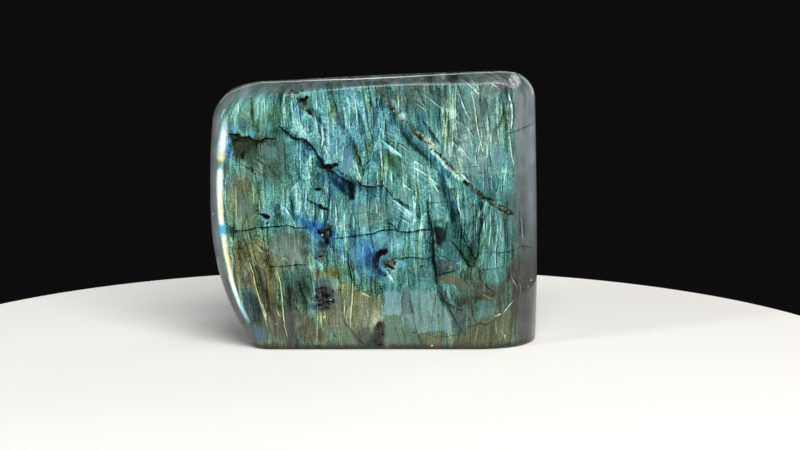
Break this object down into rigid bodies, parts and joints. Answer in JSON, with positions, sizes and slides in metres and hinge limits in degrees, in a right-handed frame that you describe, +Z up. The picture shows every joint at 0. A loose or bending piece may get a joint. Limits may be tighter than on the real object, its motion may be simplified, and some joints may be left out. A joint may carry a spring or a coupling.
{
  "type": "labradorite freeform",
  "caption": "Polished block of blue-green labradorite with a sawn flat base, standing upright as a display stone.",
  "frame": {"origin": "middle of the flat base, under the middle of the stone's bounding box", "axes": "+X from the left edge to the right end as seen from the front, +Y from the front face to the back, +Z up"},
  "size_m": [0.1042, 0.0442, 0.0863],
  "materials": {
    "labradorite": "polished, with blue-green play of colour from inside"
  },
  "bodies": {
    "root": {"labradorite_stone": "labradorite"}
  },
  "joints": []
}
